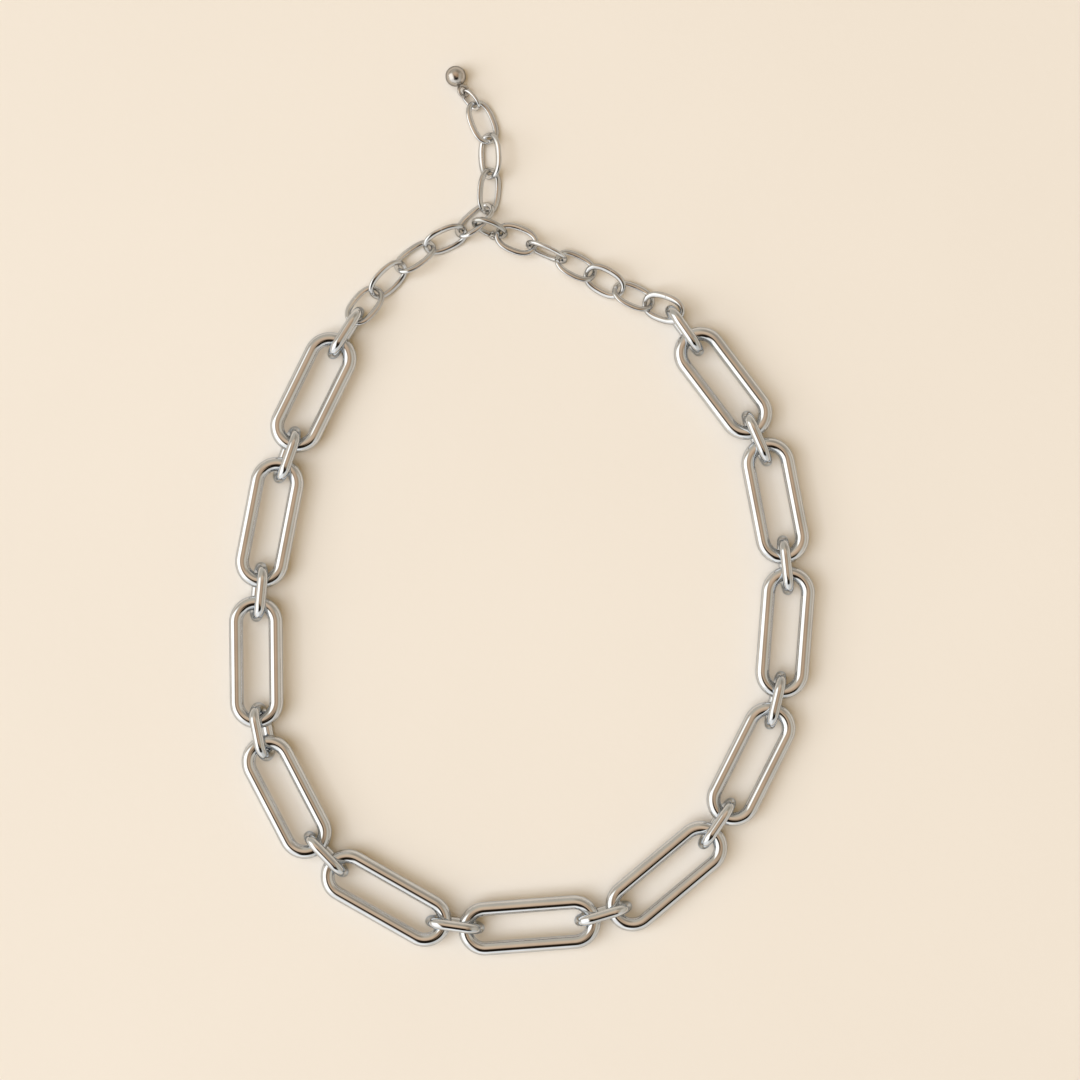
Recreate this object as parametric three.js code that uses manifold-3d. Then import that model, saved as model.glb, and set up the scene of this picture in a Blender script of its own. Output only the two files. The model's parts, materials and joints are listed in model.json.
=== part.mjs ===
// Chain necklace with an extender tail, laid out flat: eleven long paperclip links joined by
// upright connector rings, a thin oval-link chain at each upper end, and a ring clasp that hooks
// the extender. Millimetres, +Z up, the table is z = 0.
import * as THREE from "three";
import Module from "manifold-3d";

const wasm = await Module();
wasm.setup();

// ---------- driving dimensions ----------
const LARGE_WIRE = 3.0; // wire diameter of the long links
const LARGE_WIDTH = 11.3; // outside width of a long link
const LONG_FRONT = 30.0; // outside length of the three links at the front of the neck
const LONG_SIDE = 28.0; // outside length of the five at the sides
const LONG_TOP = 27.0; // outside length of the three nearest the fine chains
const CONNECTOR_WIRE = 2.35;
const CONNECTOR_ARC = 2.95; // centreline radius of a connector's round ends
const CONNECTOR_SPAN = 4.5; // between the centres of its two round ends
const SMALL_WIRE = 1.1;
const EXTENDER_HALF = [4.45, 2.6]; // centreline half length and half width of an extender link
const CHAIN_HALF = [4.2, 2.6]; // the same for the short right-hand chain
const CLASP_HALF = [3.5, 2.25];
const CLASP_WIRE = 1.2;
const END_RING_HALF = [2.25, 1.5];
const END_RING_WIRE = 0.9;
const BALL_RADIUS = 2.15;
const EYE_RADIUS = 1.15; // centreline radius of the ball's eye
const EYE_WIRE = 0.7;
const EYE_LIFT = 0.15; // how far the eye's ring stands clear of the ball's own radius

// Facets round each wire, and steps along each bend.
const LARGE_SIDES = 12;
const SIDES = 8;
const LARGE_BEND_STEPS = 8;
const CONNECTOR_BEND_STEPS = 6;
const OVAL_STEPS = 16;
const CLASP_STEPS = 20;

const CONNECTOR_FLAT = (CONNECTOR_WIRE / 2) * Math.cos(Math.PI / SIDES); // wire centre to facet
const LINK_HEIGHT = CONNECTOR_ARC + CONNECTOR_FLAT; // axis height of the long links
const LARGE_ARC = (LARGE_WIDTH - LARGE_WIRE) / 2; // centreline radius of their round ends
const HOOK_LEFT = 1.45; // how far an extender link reaches into its neighbour, wire centre to centre
const HOOK_RIGHT = 1.54;
const HOOK_CONNECTOR = 2.6; // the same for the first fine link in its connector
const HOOK_END_RING = 1.25; // and for the small ring at the end of the tail
const EYE_PLAY = 0.16; // between the ball's eye and that ring

// ---------- directions ----------
const rad = THREE.MathUtils.degToRad;

// Unit vector for a compass heading (anticlockwise from +X) and a climb angle.
function along(heading, climb = 0) {
  const h = rad(heading);
  const c = rad(climb);
  return new THREE.Vector3(Math.cos(c) * Math.cos(h), Math.cos(c) * Math.sin(h), Math.sin(c));
}

// A link's own frame: x along the chain, y across the link in its own plane, z its face.
// Roll 0 lies flat, roll 90 stands on edge.
function frameOf(centre, heading, climb, roll) {
  const x = along(heading, climb);
  const flat = along(heading + 90);
  const up = new THREE.Vector3().crossVectors(x, flat);
  const y = flat.clone().multiplyScalar(Math.cos(rad(roll)));
  y.addScaledVector(up, Math.sin(rad(roll)));
  const z = new THREE.Vector3().crossVectors(x, y);
  return new THREE.Matrix4().makeBasis(x, y, z).setPosition(centre);
}

// ---------- bent-wire rings ----------
// A closed planar wire path given as stations: centreline point and direction of travel.
class WireLoop extends THREE.Curve {
  constructor(stations, sides) {
    super();
    this.stations = stations;
    this.twist = Math.PI / sides;
  }

  getPoint(u, target = new THREE.Vector3()) {
    const count = this.stations.length;
    const s = this.stations[Math.round(u * count) % count];
    return target.set(s.x, s.y, 0);
  }

  getPointAt(u, target) {
    return this.getPoint(u, target);
  }

  // Section frames turned half a facet, so each ring has a flat facet on its faces and rims.
  computeFrenetFrames(segments) {
    const tangents = [];
    const normals = [];
    const binormals = [];
    for (let i = 0; i <= segments; i++) {
      const a = this.stations[i % this.stations.length].direction;
      const t = new THREE.Vector3(Math.cos(a), Math.sin(a), 0);
      const n = new THREE.Vector3(-Math.sin(a), Math.cos(a), 0).applyAxisAngle(t, this.twist);
      tangents.push(t);
      normals.push(n);
      binormals.push(new THREE.Vector3().crossVectors(t, n));
    }
    return { tangents, normals, binormals };
  }
}

function tube(stations, wire, sides) {
  const path = new WireLoop(stations, sides);
  return new THREE.TubeGeometry(path, stations.length, wire / 2, sides, true);
}

// Two round ends of the given centreline radius, span apart, joined by straight sides.
function stadium(span, radius, wire, steps, sides) {
  const stations = [];
  for (const end of [0, 1]) {
    for (let i = 0; i <= steps; i++) {
      const a = Math.PI * (end - 0.5 + i / steps);
      const x = (end ? -span : span) / 2 + radius * Math.cos(a);
      stations.push({ x, y: radius * Math.sin(a), direction: a + Math.PI / 2 });
    }
  }
  return tube(stations, wire, sides);
}

function oval([halfLength, halfWidth], wire, steps, sides) {
  const stations = [];
  for (let i = 0; i < steps; i++) {
    const a = (2 * Math.PI * i) / steps;
    const direction = Math.atan2(halfWidth * Math.cos(a), -halfLength * Math.sin(a));
    stations.push({ x: halfLength * Math.cos(a), y: halfWidth * Math.sin(a), direction });
  }
  return tube(stations, wire, sides);
}

// ---------- solids for joining and cutting ----------
function solidOf(geometry) {
  const flat = new THREE.BufferGeometry();
  flat.setAttribute("position", geometry.toNonIndexed().getAttribute("position"));
  const p = flat.getAttribute("position");
  const seen = new Map();
  const points = [];
  const triangles = [];
  for (let i = 0; i < p.count; i++) {
    const xyz = [p.getX(i), p.getY(i), p.getZ(i)];
    const key = xyz.map((v) => Math.round(v * 1e4)).join();
    if (!seen.has(key)) {
      seen.set(key, seen.size);
      points.push(...xyz);
    }
    triangles.push(seen.get(key));
  }
  const kept = [];
  for (let i = 0; i < triangles.length; i += 3) {
    const [a, b, c] = triangles.slice(i, i + 3);
    if (a !== b && b !== c && a !== c) kept.push(a, b, c);
  }
  const mesh = new wasm.Mesh({
    numProp: 3,
    vertProperties: new Float32Array(points),
    triVerts: new Uint32Array(kept),
  });
  return new wasm.Manifold(mesh);
}

function geometryOf(solid) {
  const mesh = solid.getMesh();
  const geometry = new THREE.BufferGeometry();
  geometry.setAttribute("position", new THREE.BufferAttribute(mesh.vertProperties, 3));
  geometry.setIndex(new THREE.BufferAttribute(mesh.triVerts, 1));
  geometry.computeVertexNormals();
  return geometry;
}

function disc(x, y, radius, low, high, sides) {
  const g = new THREE.CylinderGeometry(radius, radius, high - low, sides);
  g.rotateX(Math.PI / 2).translate(x, y, (low + high) / 2);
  return solidOf(g);
}

// ---------- materials ----------
function plated(name, color, roughness) {
  return new THREE.MeshStandardMaterial({ name, color, roughness, metalness: 1 });
}
const heavy = plated("large_link_plating", 0xcfcdc8, 0.14);
const joining = plated("connector_plating", 0xc9c8c4, 0.16);
const fine = plated("fine_chain_plating", 0xc4c2bd, 0.2);
const fittings = plated("clasp_plating", 0xbdbcb8, 0.24);

// ---------- assembly ----------
const necklace = new THREE.Group();
necklace.name = "chain_necklace";

function add(name, geometry, material, frame) {
  const mesh = new THREE.Mesh(geometry, material);
  mesh.name = name;
  if (frame) mesh.applyMatrix4(frame);
  necklace.add(mesh);
  return mesh;
}

// The front link lies level across the front of the neck, a little turned.
const FRONT_CENTRE = new THREE.Vector3(1.61, -87.22, LINK_HEIGHT);
const FRONT_HEADING = 4.3;

// The two arms, going up from the front link. One row per long link: the connector's heading and
// roll, the gap between the two long links it joins, then the long link's heading and length.
const LEFT_ARM = [
  [171.8, 90, 1.5, 150.4, LONG_FRONT],
  [134.0, 90, 1.5, 117.5, LONG_SIDE],
  [101.1, 74, 1.5, 90.6, LONG_SIDE],
  [84.3, 106, 1.5, 79.0, LONG_SIDE],
  [70.9, 106, 1.5, 63.9, LONG_TOP],
];
const RIGHT_ARM = [
  [16.5, 90, 1.5, 39.9, LONG_FRONT],
  [56.0, 90, 0.9, 63.4, LONG_SIDE],
  [76.8, 90, 0.8, 85.6, LONG_SIDE],
  [96.0, 90, 0.4, 101.0, LONG_TOP],
  [113.7, 90, 0.4, 127.2, LONG_TOP],
];
// The upper connector of each arm: heading, roll and slack.
const LEFT_TOP = [57.9, 90, 1.5];
const RIGHT_TOP = [124.8, 90, 0.4];

// The fine chains: heading, climb and roll of each link.
const EXTENDER = [
  [51.7, -11.4, -20],
  [45.1, -0.8, 43],
  [35.8, -3.1, -40],
  [24.1, 0.6, 45],
  [42.3, -1.6, -45],
  [84.6, 2.3, 45],
  [93.2, -2.5, -44],
  [111.5, -2.2, 28],
];
const FINE_RIGHT = [
  [160.0, -14.1, -27],
  [155.5, 1.1, 33],
  [150.6, -0.7, -28],
  [152.7, 2.3, 31],
  [156.3, -0.9, -76],
  [158.5, 0.2, 12],
];
const CLASP_POSE = [156.7, 14.9, -62];
const END_RING_POSE = [131, 0, -55];
const BALL_POSE = [118, 8, 35];

function longLink(name, length, centre, heading) {
  const span = length - LARGE_WIDTH;
  const g = stadium(span, LARGE_ARC, LARGE_WIRE, LARGE_BEND_STEPS, LARGE_SIDES);
  add(name, g, heavy, frameOf(centre, heading, 0, 0));
}

function connector(name, centre, heading, roll) {
  const g = stadium(CONNECTOR_SPAN, CONNECTOR_ARC, CONNECTOR_WIRE, CONNECTOR_BEND_STEPS, SIDES);
  add(name, g, joining, frameOf(centre, heading, 0, roll));
}

longLink("large_link_front", LONG_FRONT, FRONT_CENTRE, FRONT_HEADING);

// Lays one arm out from the front link and returns the centreline tip of its upper connector.
function arm(side, startHeading, rows, top) {
  // at: the centre of the round end reached so far
  let at = FRONT_CENTRE.clone();
  at.addScaledVector(along(startHeading), (LONG_FRONT - LARGE_WIDTH) / 2);
  rows.forEach(([joinHeading, roll, gap, heading, length], i) => {
    const reach = 2 * LARGE_ARC + LARGE_WIRE + gap;
    const middle = at.clone().addScaledVector(along(joinHeading), reach / 2);
    connector("connector_" + side + "_" + (i + 1), middle, joinHeading, roll);
    at.addScaledVector(along(joinHeading), reach);
    const straight = length - LARGE_WIDTH;
    const centre = at.clone().addScaledVector(along(heading), straight / 2);
    longLink("large_link_" + side + "_" + (i + 1), length, centre, heading);
    at.addScaledVector(along(heading), straight);
  });
  const [heading, roll, gap] = top;
  const centre = at.clone();
  centre.addScaledVector(along(heading), LARGE_ARC + (LARGE_WIRE + gap) / 2);
  connector("connector_" + side + "_6", centre, heading, roll);
  return centre.addScaledVector(along(heading), CONNECTOR_SPAN / 2 + CONNECTOR_ARC);
}

// Hangs a run of oval links in one another and returns where the last one's far tip lies.
function fineChain(prefix, start, half, hook, poses) {
  let near = start.clone();
  let far = start.clone();
  poses.forEach(([heading, climb, roll], i) => {
    const way = along(heading, climb);
    if (i > 0) {
      const last = along(poses[i - 1][0], poses[i - 1][1]);
      near = far.clone().addScaledVector(last.add(way).normalize(), -hook);
    }
    const centre = near.clone().addScaledVector(way, half[0]);
    const g = oval(half, SMALL_WIRE, OVAL_STEPS, SIDES);
    add(prefix + (i + 1), g, fine, frameOf(centre, heading, climb, roll));
    far = centre.clone().addScaledVector(way, half[0]);
  });
  return far;
}

const leftTip = arm("left", FRONT_HEADING + 180, LEFT_ARM, LEFT_TOP);
leftTip.addScaledVector(along(...EXTENDER[0].slice(0, 2)), -HOOK_CONNECTOR);
const tailTip = fineChain("extender_link_", leftTip, EXTENDER_HALF, HOOK_LEFT, EXTENDER);

const rightTip = arm("right", FRONT_HEADING, RIGHT_ARM, RIGHT_TOP);
rightTip.addScaledVector(along(...FINE_RIGHT[0].slice(0, 2)), -HOOK_CONNECTOR);
const chainTip = fineChain("chain_link_", rightTip, CHAIN_HALF, HOOK_RIGHT, FINE_RIGHT);

// ---------- ring clasp with a hinged gate ----------
// An oval ring cut open on one long side. The gate closes the cut and swings inward on a pin.
const GATE_FROM = -1.75; // where the hinge sits along the ring
const GATE_TO = 1.85; // where the gate's free end meets the ring
const GATE_INSIDE = 0.6; // where the cut starts across the ring
const GATE_END_PLAY = 0.13;
const LUG_RADIUS = 0.95;
const LUG_PLAY = 0.14; // round each lug
const LAP = 0.06; // half the play between the two hinge lugs
const PIN_RADIUS = 0.26;
const PIN_PLAY = 0.06;
const PIN_HEAD_RADIUS = 0.42;
const PIN_SHANK_HALF = 0.66;
const PIN_HALF = 0.84; // half the pin's length with its heads
const OUTSIDE = 4; // past the ring's outer edge and faces
const gateY = CLASP_HALF[1] * Math.sqrt(1 - (GATE_FROM / CLASP_HALF[0]) ** 2);
const claspWay = along(CLASP_POSE[0], CLASP_POSE[1]);
const chainWay = along(FINE_RIGHT[5][0], FINE_RIGHT[5][1]);
const claspCentre = chainTip.clone();
claspCentre.addScaledVector(claspWay.clone().add(chainWay).normalize(), -HOOK_RIGHT);
claspCentre.addScaledVector(claspWay, CLASP_HALF[0]);
const claspFrame = frameOf(claspCentre, ...CLASP_POSE);

function slab(x0, x1, y0, y1, halfHeight) {
  const g = new THREE.BoxGeometry(x1 - x0, y1 - y0, 2 * halfHeight);
  g.translate((x0 + x1) / 2, (y0 + y1) / 2, 0);
  return solidOf(g);
}

// A disc about the hinge axis, between two heights above the ring's own plane.
function hingeDisc(radius, low, high) {
  return disc(GATE_FROM, gateY, radius, low, high, CLASP_STEPS);
}

const wireRing = solidOf(oval(CLASP_HALF, CLASP_WIRE, CLASP_STEPS, SIDES));
const halfWire = CLASP_WIRE / 2;
const pinHole = hingeDisc(PIN_RADIUS + PIN_PLAY, -OUTSIDE, OUTSIDE);
const ringBody = wireRing
  .subtract(slab(GATE_FROM, GATE_TO, GATE_INSIDE, OUTSIDE, OUTSIDE))
  .subtract(hingeDisc(LUG_RADIUS + LUG_PLAY, -OUTSIDE, LAP))
  .add(hingeDisc(LUG_RADIUS, LAP, halfWire))
  .subtract(pinHole);
const gateBody = wireRing
  .intersect(slab(GATE_FROM, GATE_TO - GATE_END_PLAY, GATE_INSIDE, OUTSIDE, OUTSIDE))
  .subtract(hingeDisc(LUG_RADIUS + LUG_PLAY, -LAP, OUTSIDE))
  .add(hingeDisc(LUG_RADIUS, -halfWire, -LAP))
  .subtract(pinHole);
add("clasp_ring", geometryOf(ringBody), fittings, claspFrame);
add("clasp_gate", geometryOf(gateBody), fittings, claspFrame);

const pinProfile = [
  [0, -PIN_HALF],
  [PIN_HEAD_RADIUS, -PIN_HALF],
  [PIN_HEAD_RADIUS, -PIN_SHANK_HALF],
  [PIN_RADIUS, -PIN_SHANK_HALF],
  [PIN_RADIUS, PIN_SHANK_HALF],
  [PIN_HEAD_RADIUS, PIN_SHANK_HALF],
  [PIN_HEAD_RADIUS, PIN_HALF],
  [0, PIN_HALF],
].map(([r, h]) => new THREE.Vector2(r, h));
const pin = new THREE.LatheGeometry(pinProfile, LARGE_SIDES);
pin.rotateX(Math.PI / 2).translate(GATE_FROM, gateY, 0);
add("clasp_hinge_pin", geometryOf(solidOf(pin)), fittings, claspFrame);

// ---------- end of the tail ----------
const tailWay = along(EXTENDER[7][0], EXTENDER[7][1]);
const ringWay = along(END_RING_POSE[0], END_RING_POSE[1]);
const ringCentre = tailTip.clone();
ringCentre.addScaledVector(tailWay.add(ringWay).normalize(), -HOOK_END_RING);
ringCentre.addScaledVector(ringWay, END_RING_HALF[0]);
const endRing = oval(END_RING_HALF, END_RING_WIRE, OVAL_STEPS, SIDES);
add("end_ring", endRing, fine, frameOf(ringCentre, ...END_RING_POSE));

// The ball hangs by its eye. Its own frame has the eye towards -x.
const ballWay = along(BALL_POSE[0], BALL_POSE[1]);
const eyeOffset = BALL_RADIUS + EYE_RADIUS + EYE_LIFT;
const eyeCentre = ringCentre.clone().addScaledVector(ringWay, END_RING_HALF[0]);
const eyeReach = EYE_RADIUS - EYE_WIRE / 2 - END_RING_WIRE / 2 - EYE_PLAY;
eyeCentre.addScaledVector(ballWay, eyeReach);
const ballCentre = eyeCentre.clone().addScaledVector(ballWay, eyeOffset);
const ball = solidOf(new THREE.SphereGeometry(BALL_RADIUS, 20, 14));
const eye = new THREE.TorusGeometry(EYE_RADIUS, EYE_WIRE / 2, SIDES, OVAL_STEPS);
eye.translate(-eyeOffset, 0, 0);
add("end_ball", geometryOf(ball.add(solidOf(eye))), fittings, frameOf(ballCentre, ...BALL_POSE));

export default necklace;
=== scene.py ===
import json
import math

import bmesh
import bpy
import numpy as np
from mathutils import Matrix, Vector


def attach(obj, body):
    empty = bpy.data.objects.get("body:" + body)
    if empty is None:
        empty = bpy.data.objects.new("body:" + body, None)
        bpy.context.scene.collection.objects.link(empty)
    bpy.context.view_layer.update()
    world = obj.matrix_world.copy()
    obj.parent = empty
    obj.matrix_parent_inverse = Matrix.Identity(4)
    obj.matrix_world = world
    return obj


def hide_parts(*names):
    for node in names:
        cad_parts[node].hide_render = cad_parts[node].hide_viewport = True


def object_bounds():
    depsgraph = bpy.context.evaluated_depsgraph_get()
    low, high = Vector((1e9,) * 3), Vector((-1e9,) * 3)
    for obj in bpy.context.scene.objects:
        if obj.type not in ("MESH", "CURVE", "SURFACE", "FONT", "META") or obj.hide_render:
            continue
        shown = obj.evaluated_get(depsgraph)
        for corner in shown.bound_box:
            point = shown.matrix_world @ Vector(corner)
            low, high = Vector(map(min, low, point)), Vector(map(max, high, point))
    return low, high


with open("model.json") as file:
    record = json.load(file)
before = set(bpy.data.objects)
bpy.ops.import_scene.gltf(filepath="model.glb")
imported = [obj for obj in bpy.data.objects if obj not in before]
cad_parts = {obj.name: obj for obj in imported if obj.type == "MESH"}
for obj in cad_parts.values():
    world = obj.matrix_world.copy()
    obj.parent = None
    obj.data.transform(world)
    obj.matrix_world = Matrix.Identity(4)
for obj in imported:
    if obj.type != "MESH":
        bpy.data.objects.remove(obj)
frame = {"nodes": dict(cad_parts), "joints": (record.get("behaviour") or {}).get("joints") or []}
CAD_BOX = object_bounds()

MM = 0.001
TAU = 2 * math.pi

# ---------- fineness of the bent wires ----------
# sides round each wire, and steps round a bend, along a straight run or round a whole link
LARGE_SIDES = 40
LARGE_BEND = 30
LARGE_STRAIGHT = 26
CONNECTOR_SIDES = 32
CONNECTOR_BEND = 28
CONNECTOR_STRAIGHT = 10
FINE_SIDES = 24
FINE_STEPS = 96
GATE_STEPS = 32
EYE_SIDES = 20
EYE_STEPS = 64

# The fine links are pressed a little flat along their sides, fuller than an ellipse at the
# corners, and closed with a butt seam half way along one side.
FINE_BROADER = 0.32
FINE_THINNER = 0.10
FINE_POWER = 2.4
SEAM_ANGLE = TAU / 4
SEAM_DEPTH = 0.05
SEAM_WIDTH = 0.007  # radians
SEAM_STATIONS = (-0.026, -0.013, -0.006, 0.006, 0.013, 0.026)

# Share of the faceted wire's flat-to-flat radius that the round wire takes.
ROUND_SHARE = {"large": 1.008, "connector": 1.02, "fine": 1.02, "end": 1.01}

# ---------- clasp and ball ----------
LUG_LAP = 0.06 * MM  # half the gap between the two lugs
LUG_CLEAR = 0.14 * MM  # round each lug, where the other piece is cut back
LUG_EDGE = 0.12 * MM  # rounding of each lug's edge
PIN_HOLE = 0.30 * MM
PAST_PIN = 0.06  # radians that each wire runs past the pin, inside its lug
CUT_REACH = 4 * MM  # long enough for a cutter to pass right through
BALL_ROWS = 36
BALL_SIDES = 64
BALL_SEAT = 0.62 * MM  # radius of the soldered collar where it stands on the ball


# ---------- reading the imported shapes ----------
def node_points(name):
    mesh = frame["nodes"][name].data
    co = np.empty(len(mesh.vertices) * 3, np.float32)
    mesh.vertices.foreach_get("co", co)
    return np.unique(np.round(co.reshape(-1, 3).astype(float), 8), axis=0)


def steady(axis):
    """The axis with its largest component positive, so that it doesn't flip from run to run."""
    return axis if axis[np.argmax(np.abs(axis))] > 0 else -axis


def ring_frame(name):
    """Centre, the axes along, across and through a closed ring, and its half sizes along them."""
    points = node_points(name)
    values, vectors = np.linalg.eigh(np.cov(points.T))
    order = np.argsort(values)[::-1]
    along = steady(vectors[:, order[0]])
    through = steady(vectors[:, order[2]])
    across = np.cross(through, along)
    axes = np.array([along, across, through])
    local = points @ axes.T
    low, high = local.min(0), local.max(0)
    return (low + high) / 2 @ axes, axes, (high - low) / 2


# ---------- meshes ----------
def new_object(name, vertices, faces, smooth=True):
    mesh = bpy.data.meshes.new(name)
    mesh.from_pydata([tuple(v) for v in vertices], [], faces)
    mesh.validate()
    mesh.update()
    if smooth:
        mesh.polygons.foreach_set("use_smooth", [True] * len(mesh.polygons))
    obj = bpy.data.objects.new(name, mesh)
    bpy.context.scene.collection.objects.link(obj)
    return obj


def stadium_path(half_length, half_width, bend, straight):
    """Points and outward normals round a flat ring with two round ends, anticlockwise."""
    span = half_length - half_width
    points, normals = [], []
    for end in (1, -1):
        start = -math.pi / 2 if end > 0 else math.pi / 2
        for i in range(bend + 1):
            a = start + math.pi * i / bend
            normals.append((math.cos(a), math.sin(a)))
            points.append((end * span + half_width * math.cos(a), half_width * math.sin(a)))
        for i in range(1, straight):
            normals.append((0.0, float(end)))
            points.append((end * span * (1 - 2 * i / straight), end * half_width))
    return np.array(points), np.array(normals)


def oval_path(half_length, half_width, angles, power=2.0):
    """An oval through the given polar angles. A power above 2 fills its four corners out a little."""
    points, normals = [], []
    for a in angles:
        c, s = math.cos(a), math.sin(a)
        reach = (abs(c / half_length) ** power + abs(s / half_width) ** power) ** (-1 / power)
        x, y = reach * c, reach * s
        n = np.array([
            math.copysign(abs(x / half_length) ** (power - 1) / half_length, x),
            math.copysign(abs(y / half_width) ** (power - 1) / half_width, y),
        ])
        points.append((x, y))
        normals.append(n / np.linalg.norm(n))
    return np.array(points), np.array(normals)


def sweep(points, normals, wide, thick, sides, closed=True):
    """A tube along a flat path, wide across the path's plane and thick through it (half sizes)."""
    count = len(points)
    turn = np.arange(sides) * TAU / sides
    across = wide[:, None] * np.cos(turn)
    rise = thick[:, None] * np.sin(turn)
    local = np.concatenate([points[:, None, :] + across[..., None] * normals[:, None, :], rise[..., None]], 2)
    faces = []
    for i in range(count if closed else count - 1):
        j = (i + 1) % count
        for k in range(sides):
            m = (k + 1) % sides
            faces.append((i * sides + k, j * sides + k, j * sides + m, i * sides + m))
    if not closed:
        faces.append(tuple(range(sides)))
        faces.append(tuple(reversed(range((count - 1) * sides, count * sides))))
    return local.reshape(-1, 3), faces


def fine_angles():
    """Stations round a fine link, closer together at its butt seam."""
    even = [TAU * i / FINE_STEPS for i in range(FINE_STEPS)]
    near = [SEAM_ANGLE + d for d in SEAM_STATIONS]
    return np.array(sorted(set(even) | set(near)))


def ring_piece(node, kind):
    """The bent wire of one closed link, in place of its faceted stand-in."""
    centre, axes, half = ring_frame(node)
    radius = half[2] * ROUND_SHARE[kind]
    a, b = half[0] - half[2], half[1] - half[2]
    if kind == "large":
        points, normals = stadium_path(a, b, LARGE_BEND, LARGE_STRAIGHT)
        wide = thick = np.full(len(points), radius)
        sides = LARGE_SIDES
    elif kind == "connector":
        points, normals = stadium_path(a, b, CONNECTOR_BEND, CONNECTOR_STRAIGHT)
        wide = thick = np.full(len(points), radius)
        sides = CONNECTOR_SIDES
    else:
        angles = fine_angles()
        points, normals = oval_path(a, b, angles, FINE_POWER)
        side = (points[:, 1] / b) ** 2
        groove = 1 - SEAM_DEPTH * np.exp(-(((angles - SEAM_ANGLE) / SEAM_WIDTH) ** 2))
        broader = 0 if kind == "end" else FINE_BROADER
        wide = radius * (1 + broader * side) * groove
        thick = radius * (1 - FINE_THINNER * side) * groove
        sides = FINE_SIDES
    local, faces = sweep(points, normals, wide, thick, sides)
    return new_object(node + "_wire", local @ axes + centre, faces)


# ---------- materials ----------
def principled(name):
    mat = bpy.data.materials.new(name)
    mat.use_nodes = True
    tree = mat.node_tree
    return mat, tree, tree.nodes["Principled BSDF"]


def plating(name, bright, dull, low_rough, high_rough, edge):
    """Polished silver-tone plating: soft cloudy tone and fine wipe marks."""
    mat, tree, shader = principled(name)
    nodes, links = tree.nodes, tree.links
    shader.inputs["Metallic"].default_value = 1.0
    shader.inputs["Specular Tint"].default_value = (*edge, 1.0)
    where = nodes.new("ShaderNodeTexCoord")
    cloud = nodes.new("ShaderNodeTexNoise")
    cloud.inputs["Scale"].default_value = 160.0
    cloud.inputs["Detail"].default_value = 4.0
    links.new(where.outputs["Object"], cloud.inputs["Vector"])
    tone = nodes.new("ShaderNodeMix")
    tone.data_type = "RGBA"
    tone.inputs["A"].default_value = (*dull, 1.0)
    tone.inputs["B"].default_value = (*bright, 1.0)
    spread = nodes.new("ShaderNodeMapRange")
    spread.inputs["From Min"].default_value = 0.35
    spread.inputs["From Max"].default_value = 0.65
    links.new(cloud.outputs["Fac"], spread.inputs["Value"])
    links.new(spread.outputs["Result"], tone.inputs["Factor"])
    links.new(tone.outputs["Result"], shader.inputs["Base Color"])
    wipes = nodes.new("ShaderNodeTexNoise")
    wipes.inputs["Scale"].default_value = 1400.0
    wipes.inputs["Detail"].default_value = 6.0
    links.new(where.outputs["Object"], wipes.inputs["Vector"])
    rough = nodes.new("ShaderNodeMapRange")
    rough.inputs["From Min"].default_value = 0.3
    rough.inputs["From Max"].default_value = 0.75
    rough.inputs["To Min"].default_value = low_rough
    rough.inputs["To Max"].default_value = high_rough
    links.new(wipes.outputs["Fac"], rough.inputs["Value"])
    links.new(rough.outputs["Result"], shader.inputs["Roughness"])
    bump = nodes.new("ShaderNodeBump")
    bump.inputs["Strength"].default_value = 0.05
    bump.inputs["Distance"].default_value = 0.02 * MM
    links.new(wipes.outputs["Fac"], bump.inputs["Height"])
    links.new(bump.outputs["Normal"], shader.inputs["Normal"])
    return mat


# tints at grazing angles, which draw the darker outlines of each wire
SOFT_EDGE = (0.50, 0.55, 0.62)
RING_EDGE = (0.50, 0.56, 0.63)
DARK_EDGE = (0.14, 0.16, 0.18)
large_plating = plating("large_plating", (0.70, 0.715, 0.73), (0.63, 0.645, 0.66), 0.03, 0.06, SOFT_EDGE)
connector_plating = plating("ring_plating", (0.69, 0.705, 0.72), (0.60, 0.615, 0.63), 0.03, 0.06, RING_EDGE)
fine_plating = plating("fine_plating", (0.70, 0.705, 0.71), (0.56, 0.565, 0.57), 0.03, 0.07, DARK_EDGE)
clasp_plating = plating("fittings_plating", (0.58, 0.575, 0.56), (0.47, 0.465, 0.45), 0.04, 0.10, DARK_EDGE)
ball_plating = plating("ball_plating", (0.56, 0.53, 0.50), (0.45, 0.42, 0.39), 0.14, 0.24, DARK_EDGE)


def dress(obj, mat, node, body=None, replaces=()):
    """Gives a piece its finish and puts it in place of its CAD node and any others in replaces."""
    obj.data.materials.append(mat)
    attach(obj, body or node)
    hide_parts(node, *replaces)


for name in sorted(frame["nodes"]):
    if name.startswith("large_link"):
        dress(ring_piece(name, "large"), large_plating, name)
    elif name.startswith("connector"):
        dress(ring_piece(name, "connector"), connector_plating, name)
    elif name.startswith(("extender_link", "chain_link")):
        dress(ring_piece(name, "fine"), fine_plating, name)
    elif name == "end_ring":
        dress(ring_piece(name, "end"), fine_plating, name)


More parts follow.
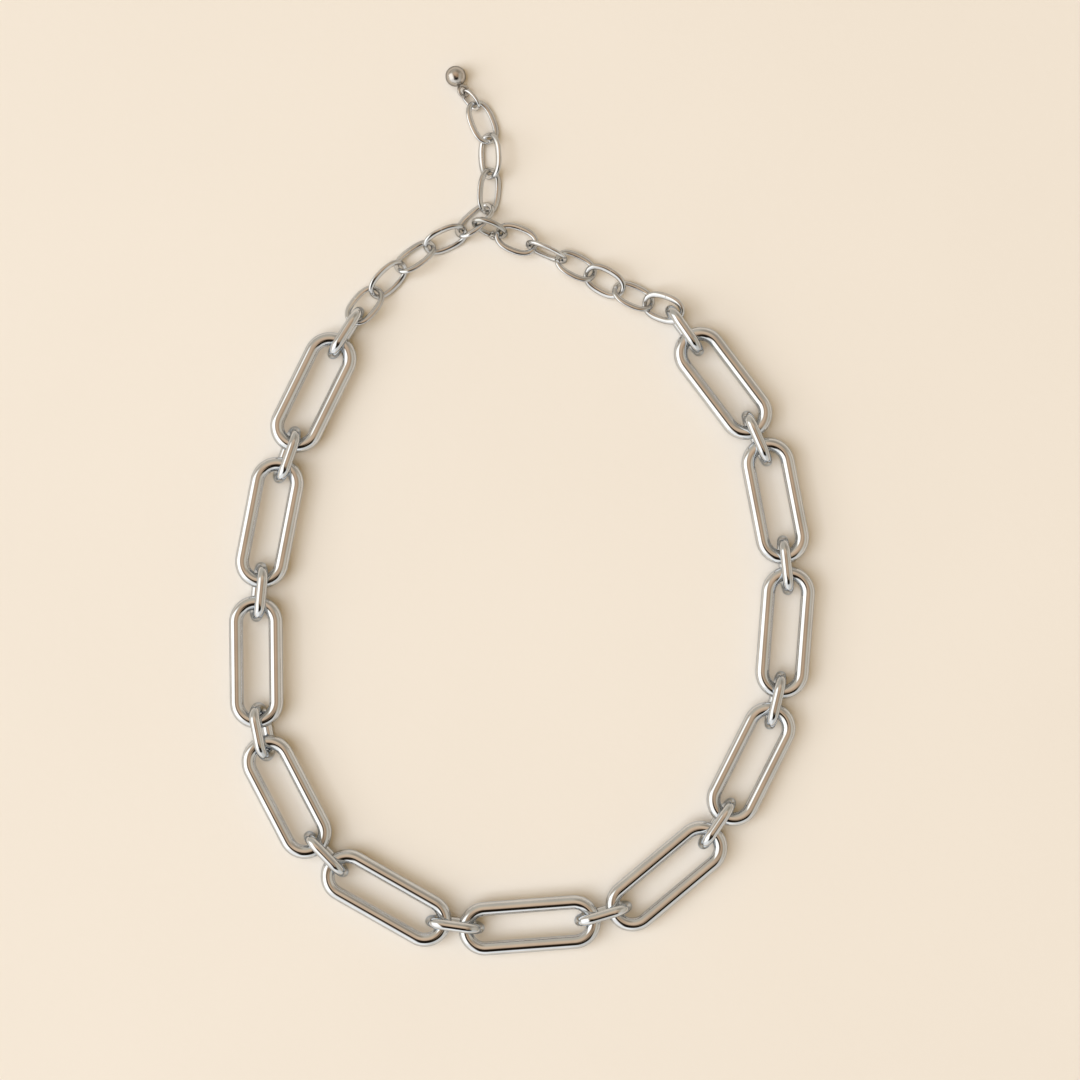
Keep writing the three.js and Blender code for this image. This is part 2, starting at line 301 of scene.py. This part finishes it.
# ---------- ring clasp, its gate and pin ----------
def turned(profile, sides):
    """A solid turned about local z from (radius, height) pairs. An end at radius 0 closes to a point."""
    verts, rows = [], []
    for radius, height in profile:
        if radius == 0:
            rows.append([len(verts)] * sides)
            verts.append((0.0, 0.0, height))
        else:
            start = len(verts)
            rows.append([start + k for k in range(sides)])
            for k in range(sides):
                a = TAU * k / sides
                verts.append((radius * math.cos(a), radius * math.sin(a), height))
    faces = []
    for low, high in zip(rows, rows[1:]):
        for k in range(sides):
            m = (k + 1) % sides
            corners = [low[k], low[m], high[m], high[k]]
            faces.append(tuple(dict.fromkeys(corners)))
    for row, flip in ((rows[0], True), (rows[-1], False)):
        if row[0] != row[1]:
            faces.append(tuple(reversed(row)) if flip else tuple(row))
    return np.array(verts), faces


def rounded_disc(radius, low, high, edge):
    """Profile of a disc with both rims rounded."""
    arc = [math.radians(a) for a in (0, 22.5, 45, 67.5, 90)]
    lower = [(radius - edge + edge * math.sin(a), low + edge - edge * math.cos(a)) for a in arc]
    upper = [(radius - edge + edge * math.cos(a), high - edge + edge * math.sin(a)) for a in arc]
    return [(0, low)] + lower + upper + [(0, high)]


def solid(name, verts, faces, shift=(0, 0, 0)):
    obj = new_object(name, np.asarray(verts) + np.array(shift), faces, smooth=False)
    bm = bmesh.new()
    bm.from_mesh(obj.data)
    bmesh.ops.recalc_face_normals(bm, faces=bm.faces)
    bm.to_mesh(obj.data)
    bm.free()
    return obj


def combine(base, *steps):
    """Joins ("UNION") or cuts ("DIFFERENCE") base with each solid in turn, and drops the solids."""
    for operation, other in steps:
        modifier = base.modifiers.new("join", "BOOLEAN")
        modifier.operation = operation
        modifier.object = other
        modifier.solver = "EXACT"
        made = bpy.data.meshes.new_from_object(base.evaluated_get(bpy.context.evaluated_depsgraph_get()))
        base.modifiers.clear()
        old, base.data = base.data, made
        bpy.data.meshes.remove(old)
        bpy.data.objects.remove(other)
    bm = bmesh.new()
    bm.from_mesh(base.data)
    bmesh.ops.remove_doubles(bm, verts=bm.verts, dist=0.001 * MM)
    bmesh.ops.dissolve_degenerate(bm, edges=bm.edges, dist=0.001 * MM)
    if not all(edge.is_manifold for edge in bm.edges):
        raise RuntimeError(base.name + " did not come out as a closed mesh")
    bm.to_mesh(base.data)
    bm.free()
    base.data.polygons.foreach_set("use_smooth", [True] * len(base.data.polygons))
    base.data.set_sharp_from_angle(angle=math.radians(38))
    return base


def clasp_frame():
    """Centre and axes of the clasp ring: x along it, y towards its gate, z along the hinge pin."""
    joint = next(j for j in frame["joints"] if j["name"] == "clasp_gate_swing")
    hinge = np.array(joint["pos_m"])
    z = np.array(joint["axis"], float)
    z /= np.linalg.norm(z)
    points = node_points("clasp_ring")
    plane = points - np.outer((points - hinge) @ z, z)
    gaps = np.linalg.norm(plane[:, None] - plane[None], axis=2)
    i, j = np.unravel_index(np.argmax(gaps), gaps.shape)
    centre = (plane[i] + plane[j]) / 2
    x = plane[j] - plane[i]
    x /= np.linalg.norm(x)
    if (hinge - centre) @ x > 0:
        x = -x
    y = np.cross(z, x)
    if (hinge - centre) @ y < 0:
        z, y = -z, -y
    return centre, np.array([x, y, z]), hinge, gaps[i, j] / 2


def place(obj, axes, centre):
    matrix = Matrix([[*axes[:, row], centre[row]] for row in range(3)] + [[0, 0, 0, 1]])
    obj.data.transform(matrix)
    return obj


def clasp_pieces():
    centre, axes, hinge, reach = clasp_frame()
    local = (node_points("clasp_ring") - centre) @ axes.T
    plain = local[local[:, 1] < 0]
    wire = np.abs(plain[:, 2]).max()
    a, b = reach - wire, -plain[:, 1].min() - wire
    radius = wire * ROUND_SHARE["fine"]
    gate_points = (node_points("clasp_gate") - centre) @ axes.T
    hinge_x, hinge_y = ((hinge - centre) @ axes.T)[:2]
    half = local[:, 2].max()
    gate_end = gate_points[:, 0].max()
    gap_end = local[(local[:, 1] > 0.8 * b) & (local[:, 0] > 0)][:, 0].min()
    lug = np.hypot(gate_points[:, 0] - hinge_x, gate_points[:, 1] - hinge_y)
    lug = lug[gate_points[:, 0] < hinge_x - 0.3 * MM].max() * 0.99

    def wire_solid(name, start, stop, steps):
        points, normals = oval_path(a, b, np.linspace(start, stop, steps + 1))
        even = np.full(len(points), radius)
        verts, faces = sweep(points, normals, even, even, FINE_SIDES, closed=False)
        return solid(name, verts, faces)

    def disc(name, size, low, high, edge=0.0, sides=48):
        if edge:
            profile = rounded_disc(size, low, high, edge)
        else:
            profile = [(0, low), (size, low), (size, high), (0, high)]
        return solid(name, *turned(profile, sides), shift=(hinge_x, hinge_y, 0))

    def polar(x):
        """The polar angle of the point of the oval that stands at x, on the gate's side."""
        return math.atan2(b * math.sqrt(1 - (x / a) ** 2), x)

    def lapped(wire, cut_from, cut_to, low, high):
        """The wire cut back round the pin, with its own lug joined on and drilled."""
        return combine(
            wire,
            ("DIFFERENCE", disc("cut", lug + LUG_CLEAR, cut_from, cut_to)),
            ("UNION", disc("lug", lug, low, high, LUG_EDGE)),
            ("DIFFERENCE", disc("hole", PIN_HOLE, -CUT_REACH, CUT_REACH)),
        )

    hinge_angle = polar(hinge_x)
    ring = wire_solid("clasp_ring_wire", polar(gap_end), hinge_angle - TAU - PAST_PIN, FINE_STEPS)
    ring = lapped(ring, -CUT_REACH, LUG_LAP, LUG_LAP, half)
    gate = wire_solid("clasp_gate_wire", hinge_angle + PAST_PIN, polar(gate_end), GATE_STEPS)
    gate = lapped(gate, -LUG_LAP, CUT_REACH, -half, -LUG_LAP)
    pin_points = (node_points("clasp_hinge_pin") - centre) @ axes.T
    reach_z = pin_points[:, 2].max()
    radii = np.hypot(pin_points[:, 0] - hinge_x, pin_points[:, 1] - hinge_y)
    head, shank = radii.max() * 0.99, radii[radii > 0.1 * MM].min() * 0.97
    under = pin_points[(radii > 0.9 * head) & (pin_points[:, 2] > 0)][:, 2].min()
    rise = reach_z - under
    dome = [math.radians(d) for d in (0, 18, 36, 54, 72)]
    upper = [(shank, under)]
    upper += [(head * math.cos(t), under + rise * math.sin(t)) for t in dome]
    upper += [(0, reach_z)]
    lower = [(r, -h) for r, h in reversed(upper)]
    pin = solid("clasp_pin_turned", *turned(lower + upper, 32), shift=(hinge_x, hinge_y, 0))
    pin.data.polygons.foreach_set("use_smooth", [True] * len(pin.data.polygons))
    pin.data.set_sharp_from_angle(angle=math.radians(40))
    return [place(piece, axes, centre) for piece in (ring, gate, pin)]


ring, gate, pin = clasp_pieces()
dress(ring, clasp_plating, "clasp_ring")
dress(gate, clasp_plating, "clasp_gate")
dress(pin, clasp_plating, "clasp_hinge_pin", body="clasp_ring")


# ---------- ball with its eye ----------
def ball_piece():
    points = node_points("end_ball")
    keep = points
    for _ in range(12):
        system = np.concatenate([2 * keep, np.ones((len(keep), 1))], 1)
        answer = np.linalg.lstsq(system, (keep**2).sum(1), rcond=None)[0]
        centre = answer[:3]
        radius = math.sqrt(answer[3] + centre @ centre)
        error = np.abs(np.linalg.norm(points - centre, axis=1) - radius)
        keep = points[error <= max(np.sort(error)[int(0.6 * len(error))], 0.01 * MM)]
    far = np.linalg.norm(points - centre, axis=1)
    radius = np.median(far[np.abs(far - radius) < 0.05 * MM])
    eye = points[far > radius + 0.1 * MM]
    x = eye.mean(0) - centre
    x /= np.linalg.norm(x)
    values, vectors = np.linalg.eigh(np.cov(eye.T))
    z = vectors[:, 0] - (vectors[:, 0] @ x) * x
    z /= np.linalg.norm(z)
    axes = np.array([x, np.cross(z, x), z])
    local = (eye - centre) @ axes.T
    wire = np.abs(local[:, 2]).max()
    outer = np.abs(local[:, 1]).max()
    ring_centre = local[:, 0].max() - outer
    lift = ring_centre - (outer - wire)
    seat = math.sqrt(radius**2 - BALL_SEAT**2)
    profile = []
    for i in range(BALL_ROWS + 1):
        t = math.pi * i / BALL_ROWS
        profile.append((radius * math.sin(t), -radius * math.cos(t)))
    profile = [(0.0 if abs(r) < 1e-7 else r, h) for r, h in profile if h < seat]
    # a short soldered collar stands on the ball and takes the eye's wire
    profile += [
        (BALL_SEAT, seat),
        (BALL_SEAT * 0.86, seat + 0.10 * MM),
        (BALL_SEAT * 0.80, lift + wire * 0.2),
        (BALL_SEAT * 0.62, lift + wire * 0.6),
        (0.0, lift + wire * 0.7),
    ]
    verts, faces = turned(profile, BALL_SIDES)
    ball = solid("ball_turned", verts[:, [2, 0, 1]], faces)
    angles = np.linspace(0, TAU, EYE_STEPS, endpoint=False)
    loop, normals = oval_path(outer - wire, outer - wire, angles)
    loop = loop + np.array([ring_centre, 0])
    even = np.full(len(loop), wire * ROUND_SHARE["fine"])
    ring_verts, ring_faces = sweep(loop, normals, even, even, EYE_SIDES)
    ball = combine(ball, ("UNION", solid("eye", ring_verts, ring_faces)))
    return place(ball, axes, centre)


dress(ball_piece(), ball_plating, "end_ball")

# ---------- table top ----------
LOW, HIGH = CAD_BOX
MIDDLE = (LOW + HIGH) / 2


def paper_floor():
    mat, tree, shader = principled("cream_paper")
    nodes, links = tree.nodes, tree.links
    shader.inputs["Roughness"].default_value = 0.85
    shader.inputs["Specular IOR Level"].default_value = 0.15
    where = nodes.new("ShaderNodeTexCoord")
    fibre = nodes.new("ShaderNodeTexNoise")
    fibre.inputs["Scale"].default_value = 420.0
    fibre.inputs["Detail"].default_value = 5.0
    fibre.inputs["Roughness"].default_value = 0.6
    links.new(where.outputs["Object"], fibre.inputs["Vector"])
    patch = nodes.new("ShaderNodeTexNoise")
    patch.inputs["Scale"].default_value = 14.0
    patch.inputs["Detail"].default_value = 3.0
    links.new(where.outputs["Object"], patch.inputs["Vector"])
    mixed = nodes.new("ShaderNodeMix")
    mixed.data_type = "RGBA"
    mixed.inputs["A"].default_value = (0.785, 0.700, 0.595, 1)
    mixed.inputs["B"].default_value = (0.815, 0.73, 0.625, 1)
    links.new(patch.outputs["Fac"], mixed.inputs["Factor"])
    links.new(mixed.outputs["Result"], shader.inputs["Base Color"])
    bump = nodes.new("ShaderNodeBump")
    bump.inputs["Strength"].default_value = 0.25
    bump.inputs["Distance"].default_value = 0.15 * MM
    links.new(fibre.outputs["Fac"], bump.inputs["Height"])
    links.new(bump.outputs["Normal"], shader.inputs["Normal"])
    return mat


FLOOR_HALF = 1.6
FLOOR_GAP = 0.02 * MM
floor = new_object(
    "paper_table",
    [(x * FLOOR_HALF, y * FLOOR_HALF, 0.0) for x, y in ((-1, -1), (1, -1), (1, 1), (-1, 1))],
    [(0, 1, 2, 3)],
    smooth=False,
)
floor.location.z = LOW.z - FLOOR_GAP
floor.data.materials.append(paper_floor())

# ---------- room: what the links reflect, as colours against direction ----------
world = bpy.data.worlds.new("room")
bpy.context.scene.world = world
world.use_nodes = True
tree = world.node_tree
nodes, links = tree.nodes, tree.links
background = nodes["Background"]
where = nodes.new("ShaderNodeTexCoord")
split = nodes.new("ShaderNodeSeparateXYZ")
links.new(where.outputs["Generated"], split.inputs["Vector"])


def calc(operation, *inputs):
    node = nodes.new("ShaderNodeMath")
    node.operation = operation
    for socket, value in zip(node.inputs, inputs):
        if isinstance(value, (int, float)):
            socket.default_value = value
        else:
            links.new(value, socket)
    return node.outputs["Value"]


def smooth_step(value, low, high):
    node = nodes.new("ShaderNodeMapRange")
    node.interpolation_type = "SMOOTHSTEP"
    node.inputs["From Min"].default_value = low
    node.inputs["From Max"].default_value = high
    links.new(value, node.inputs["Value"])
    return node.outputs["Result"]


def band(value, low, rise, fall, high):
    """1 between rise and fall, fading to 0 at low and high."""
    falling = calc("SUBTRACT", 1.0, smooth_step(value, fall, high))
    return calc("MULTIPLY", smooth_step(value, low, rise), falling)


def mix(factor, a, b):
    node = nodes.new("ShaderNodeMix")
    node.data_type = "RGBA"
    links.new(factor, node.inputs["Factor"])
    for name, value in (("A", a), ("B", b)):
        if isinstance(value, tuple):
            node.inputs[name].default_value = (*value, 1.0)
        else:
            links.new(value, node.inputs[name])
    return node.outputs["Result"]


zenith = calc("MULTIPLY", calc("ARCCOSINE", split.outputs["Z"]), 180 / math.pi)
across_x = split.outputs["X"]
across_y = split.outputs["Y"]
flat = calc("SQRT", calc("ADD", calc("MULTIPLY", across_x, across_x), calc("MULTIPLY", across_y, across_y)))
flat = calc("MAXIMUM", flat, 1e-4)


def facing(degrees, low, high):
    """1 where a direction's compass heading is near degrees, fading between the two cosines."""
    a = math.radians(degrees)
    dot = calc("ADD", calc("MULTIPLY", across_x, math.cos(a)), calc("MULTIPLY", across_y, math.sin(a)))
    return smooth_step(calc("DIVIDE", dot, flat), low, high)


def sky_ramp(stops):
    """Colour against angle from straight up, as (degrees, colour) pairs."""
    ramp = nodes.new("ShaderNodeValToRGB")
    ramp.color_ramp.interpolation = "EASE"
    elements = ramp.color_ramp.elements
    while len(elements) < len(stops):
        elements.new(0.5)
    for element, (at, colour) in zip(elements, stops):
        element.position = at / 90
        element.color = (*colour, 1.0)
    links.new(calc("DIVIDE", zenith, 90.0), ramp.inputs["Fac"])
    return ramp.outputs["Color"]


RIGHT_SKY = [
    (0, (0.62, 0.45, 0.31)),
    (8, (0.56, 0.40, 0.27)),
    (24, (0.42, 0.29, 0.185)),
    (34, (0.46, 0.37, 0.27)),
    (48, (0.58, 0.54, 0.46)),
    (66, (0.57, 0.51, 0.42)),
    (90, (0.42, 0.37, 0.30)),
]
FAR_SKY = [
    (0, (0.62, 0.45, 0.31)),
    (14, (0.70, 0.52, 0.37)),
    (30, (0.68, 0.53, 0.39)),
    (46, (0.54, 0.48, 0.39)),
    (70, (0.50, 0.46, 0.39)),
    (90, (0.58, 0.52, 0.44)),
]


def panel(heading, elevation, half_width, half_height, soft, roll=0.0):
    """1 inside a soft-edged rectangle of the room, seen from the necklace. Sizes are at unit distance."""
    h, e, r = math.radians(heading), math.radians(elevation), math.radians(roll)
    out = Vector((math.cos(h) * math.cos(e), math.sin(h) * math.cos(e), math.sin(e)))
    side = Vector((-math.sin(h), math.cos(h), 0.0))
    side = Matrix.Rotation(r, 3, out) @ side
    top = out.cross(side)
    inside = None
    for axis, half in ((side, half_width), (top, half_height)):
        along = along_axis(axis)
        ratio = calc("DIVIDE", calc("ABSOLUTE", along), calc("MAXIMUM", along_axis(out), 1e-3))
        part = calc("SUBTRACT", 1.0, smooth_step(ratio, half - soft, half + soft))
        inside = part if inside is None else calc("MULTIPLY", inside, part)
    return inside


def along_axis(axis):
    """How far a direction points along an axis."""
    total = calc("MULTIPLY", split.outputs["Z"], axis.z)
    total = calc("ADD", total, calc("MULTIPLY", split.outputs["X"], axis.x))
    return calc("ADD", total, calc("MULTIPLY", split.outputs["Y"], axis.y))


DARK = (0.012, 0.008, 0.005)
colour = mix(facing(100, 0.2, 0.95), sky_ramp(RIGHT_SKY), sky_ramp(FAR_SKY))
# a pale wall low on the near side, brightest near the window
wall = calc("MULTIPLY", facing(-90, 0.25, 0.9), smooth_step(zenith, 44, 58))
colour = mix(wall, colour, (0.70, 0.69, 0.66))
wall = calc("MULTIPLY", facing(-124, 0.66, 0.92), smooth_step(zenith, 31, 44))
colour = mix(wall, colour, (1.0, 0.99, 0.97))
# the far side is a little brown half way up
shade = calc("MULTIPLY", facing(58, 0.80, 0.98), band(zenith, 30, 45, 60, 80))
colour = mix(calc("MULTIPLY", shade, 0.6), colour, (0.22, 0.17, 0.12))
# the window, and the dark shape of whoever stands at the near side with a camera overhead
colour = mix(panel(190, 35, 0.55, 0.46, 0.15, roll=12), colour, (1.5, 1.48, 1.42))
colour = mix(panel(-78, 52, 0.44, 0.27, 0.11), colour, DARK)
colour = mix(panel(-114, 72, 0.22, 0.17, 0.08), colour, DARK)
# what falls on the table from the room itself is dim and warm
paths = nodes.new("ShaderNodeLightPath")
colour = mix(paths.outputs["Is Diffuse Ray"], colour, (0.34, 0.225, 0.055))
links.new(colour, background.inputs["Color"])
background.inputs["Strength"].default_value = 1.2


LIGHT_DISTANCE = 4.0


def area_light(name, heading, elevation, size, radiance, colour):
    """A square panel that faces the necklace and lights it without showing in its reflections."""
    data = bpy.data.lights.new(name, "AREA")
    data.shape = "SQUARE"
    data.size = size
    data.energy = radiance * math.pi * size**2
    data.color = colour
    obj = bpy.data.objects.new(name, data)
    a, e = math.radians(heading), math.radians(elevation)
    away = Vector((math.cos(a) * math.cos(e), math.sin(a) * math.cos(e), math.sin(e)))
    obj.location = MIDDLE + away * LIGHT_DISTANCE
    obj.rotation_mode = "QUATERNION"
    obj.rotation_quaternion = away.to_track_quat("Z", "Y")
    obj.visible_glossy = False
    obj.visible_camera = False
    bpy.context.scene.collection.objects.link(obj)


area_light("key", 196, 70, 3.4, 4.2, (0.716, 0.838, 1.015))
area_light("side", 194, 38, 2.4, 3.1, (0.746, 0.838, 1.0))

# ---------- camera, straight above as in the photo ----------
LENS = 85.0
SENSOR = 36.0
VIEW_WIDTH = 0.2268  # how much of the table the picture spans, at the links' level
LINK_LEVEL = 0.004
VIEW_CENTRE = (0.0038, -0.0063)
camera_data = bpy.data.cameras.new("camera")
camera_data.lens = LENS
camera_data.sensor_width = SENSOR
camera = bpy.data.objects.new("camera", camera_data)
bpy.context.scene.collection.objects.link(camera)
camera.location = (*VIEW_CENTRE, LINK_LEVEL + VIEW_WIDTH * LENS / SENSOR)
camera_data.clip_start, camera_data.clip_end = 0.01, 20.0
bpy.context.scene.camera = camera
bpy.context.scene.view_settings.view_transform = "Standard"
